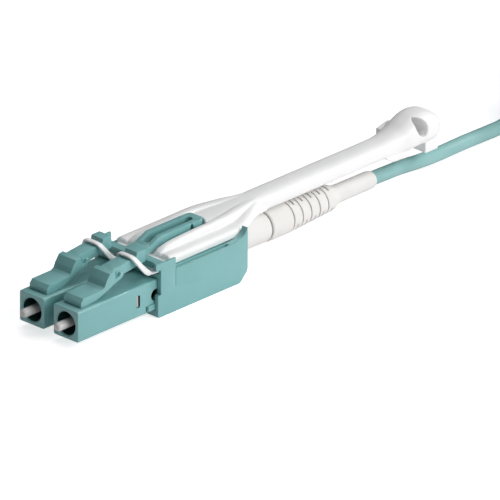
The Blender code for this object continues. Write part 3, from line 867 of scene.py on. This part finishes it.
def lead_in():
    """Cable from inside the near connector to the hank's first lap."""
    return [(0, CABLE_INSIDE, 3.0), (0, 50.0, 3.0), (0, BOOT_REAR, 3.0), (-0.3, 64.7, 2.75),
            (-0.75, 67.7, 2.4), (-1.3, 72.1, 1.75), (-2.08, 76.7, 1.1), (-2.3, 82.0, 1.02),
            (-2.2, 86.5, 1.02), (-2.15, 89.0, 1.06), (-2.5, 91.0, 1.15), (-3.4, 93.3, 1.3),
            (-4.7, 95.7, 1.5), (-5.75, 98.2, 1.68)]


def lead_out():
    """Cable from the hank's last lap to inside the far connector."""
    strand = HANK_FLOOR + CABLE_RADIUS
    outer = FOLD_INNER + LAP_PITCH
    far_boot = FAR_FRONT - BOOT_REAR
    x = FAR_SHIFT
    return [(-outer, 126.5, strand), (-outer, 129.9, strand - 0.1), (-outer + 0.2, 132.2, 1.4),
            (-7.1, 135.3, 1.2), (-5.4, 138.4, 1.4), (-3.6, 141.4, 1.8), (-2.3, 144.4, 2.5),
            (x, 147.0, 2.95), (x, far_boot, 3.0), (x, far_boot + 10.0, 3.0),
            (x, FAR_FRONT - CABLE_INSIDE, 3.0)]


def length_of(points):
    return sum((Vector(b) - Vector(a)).length for a, b in zip(points, points[1:]))


def make_cord(material):
    """The whole cable as one strand, and its length in metres."""
    hank = hank_path()
    route = curved(lead_in() + hank[:1], 60)[:-1] + hank + curved(hank[-1:] + lead_out(), 50)[1:]
    curve = bpy.data.curves.new("cable", "CURVE")
    curve.dimensions = "3D"
    curve.bevel_depth = CABLE_RADIUS * MM
    curve.bevel_resolution = 6
    curve.use_fill_caps = True
    spline = curve.splines.new("POLY")
    spline.points.add(len(route) - 1)
    for target, point in zip(spline.points, route):
        target.co = (*in_metres(point), 1.0)
    spline.use_smooth = True
    curve.materials.append(material)
    cable = bpy.data.objects.new("cable", curve)
    bpy.context.collection.objects.link(cable)
    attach(cable, "root")
    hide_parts("cord_run", "cord_hank", "cord_tail")
    return cable, length_of(route) * MM


def hank_tie():
    """Closed strap round the middle of the hank."""
    half = FOLD_INNER + LAP_PITCH + CABLE_RADIUS + 0.1
    low = HANK_FLOOR - 0.05
    high = HANK_FLOOR + HANK_HEIGHT + 0.05
    thick = 0.6
    middle = HANK_FOLD_NEAR + HANK_RUN / 2
    first, last = middle - 4.0, middle + 4.0
    outer = filleted([(-half - thick, low - thick, 1.3), (half + thick, low - thick, 1.3),
                      (half + thick, high + thick, 1.3), (-half - thick, high + thick, 1.3)], 8)
    inner = filleted([(-half, low, 0.8), (half, low, 0.8), (half, high, 0.8), (-half, high, 0.8)], 8)
    item = loose(prism(outer, "y", first, last))
    cut(item, prism(inner, "y", first - 1, last + 1))
    soften(item, 0.12, 2, 50)
    return item


# ------------------------------------------------------------- studio

def make_studio():
    """White backdrop that lights the part only faintly, four soft lamps and the table."""
    mesh = bmesh.new()
    bmesh.ops.create_grid(mesh, x_segments=1, y_segments=1, size=3.0)
    floor = loose(mesh, "floor")
    floor.location.z = -0.00002
    floor.data.materials.append(floor_material())

    world = bpy.data.worlds.new("studio")
    bpy.context.scene.world = world
    world.use_nodes = True
    nodes = world.node_tree.nodes
    links = world.node_tree.links
    seen = nodes["Background"]
    seen.inputs["Color"].default_value = (1.0, 1.0, 1.0, 1.0)
    seen.inputs["Strength"].default_value = 1.0
    lighting = nodes.new("ShaderNodeBackground")
    lighting.inputs["Color"].default_value = (0.94, 0.97, 1.0, 1.0)
    lighting.inputs["Strength"].default_value = 0.10
    ray = nodes.new("ShaderNodeLightPath")
    choose = nodes.new("ShaderNodeMixShader")
    links.new(ray.outputs["Is Camera Ray"], choose.inputs["Fac"])
    links.new(lighting.outputs["Background"], choose.inputs[1])
    links.new(seen.outputs["Background"], choose.inputs[2])
    links.new(choose.outputs["Shader"], nodes["World Output"].inputs["Surface"])

    lamp("key_light", (0.62, 0.14, 0.32), 0.5, 3.6)
    lamp("top_light", (-0.15, 0.2, 0.78), 0.6, 2.4)
    lamp("edge_light", (0.37, 0.59, 0.56), 0.12, 1.5)
    lamp("front_light", (-0.5, -0.33, 0.52), 0.15, 0.06)


def lamp(name, location, size, power):
    """Square soft lamp that faces the row frame's origin."""
    data = bpy.data.lights.new(name, "AREA")
    data.shape = "SQUARE"
    data.size = size
    data.energy = power
    item = bpy.data.objects.new(name, data)
    bpy.context.collection.objects.link(item)
    item.location = location
    item.rotation_mode = "QUATERNION"
    item.rotation_quaternion = (-Vector(location)).to_track_quat("-Z", "Y")
    item.visible_camera = False


# ------------------------------------------------------------- assembly

make_camera()

AQUA = moulded("aqua_plastic", (0.205, 0.465, 0.465), (0.195, 0.445, 0.445), 0.38, 0.03, 0.6, coat=0.5)
WHITE = moulded("white_plastic", (0.93, 0.93, 0.925), (0.905, 0.905, 0.90), 0.40, 0.08, scatter=0.15)
BOOT = moulded("boot_rubber", (0.83, 0.82, 0.80), (0.80, 0.785, 0.76), 0.55, 0.14, 0.4, 0.15)
CERAMIC = ceramic("white_ceramic")
# Painted shade: a near-black aqua copy of the plastic for the inside of the plug bores, standing in for the
# shade deep in each bore.
BORE_PAINTED_SHADE = moulded("bore_shade", (0.02, 0.075, 0.07), (0.018, 0.065, 0.06), 0.5, 0.08, 0.3)
METAL = turned_metal("plated_metal", (0.78, 0.76, 0.70), 0.24)
BUFFER = moulded("fibre_buffer", (0.72, 0.75, 0.66), (0.68, 0.72, 0.62), 0.45, 0.05)
JACKET = jacket("aqua_jacket")
STRAP = strap("tie_strap")

cable, cable_length = make_cord(JACKET)

for letter, x in SIDES.items():
    plug = plug_body(x)
    finish_plug(plug, x)
    place(plug, f"plug_body_{letter}", AQUA, extra=(BORE_PAINTED_SHADE, METAL))
    place(latch(x), f"latch_{letter}", AQUA, f"latch_{letter}")
    place(ferrule(x), f"ferrule_{letter}", CERAMIC, f"ferrule_{letter}")
    place(ferrule_holder(x), f"ferrule_holder_{letter}", METAL, f"ferrule_{letter}")
place(clip_housing(), "clip_housing", AQUA)
place(lock_tongue(), "lock_tongue", AQUA, "lock_tongue")
place(pull_tab(), "pull_tab", WHITE, "pull_tab", degrees=60)
place(boot_collar(), "boot_collar", BOOT)
place(bend_boot(), "bend_boot", BOOT)

tie = hank_tie()
shade(tie)
tie.data.transform(ENDS["near"] @ TO_METRES)
tie.data.materials.append(STRAP)
tie.name = "hank_tie_look"
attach(tie, "root")
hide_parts("hank_tie")

KEPT = {"ferrule_spring_a": METAL, "ferrule_spring_b": METAL, "spring_stop_a": METAL, "spring_stop_b": METAL,
        "fibre_a": BUFFER, "fibre_b": BUFFER, "crimp_body": METAL, "crimp_ring": METAL}
for end in ENDS:
    for piece, material in KEPT.items():
        node = frame["nodes"][f"{end}_{piece}"]
        for slot in node.material_slots:
            slot.material = material

far_pieces = [o for o in bpy.data.objects if o.name.startswith("far_") and o.name.endswith("_look")]
far_pieces += [frame["nodes"][f"far_{piece}"] for piece in KEPT]

make_studio()
bpy.context.scene.view_settings.view_transform = "Standard"
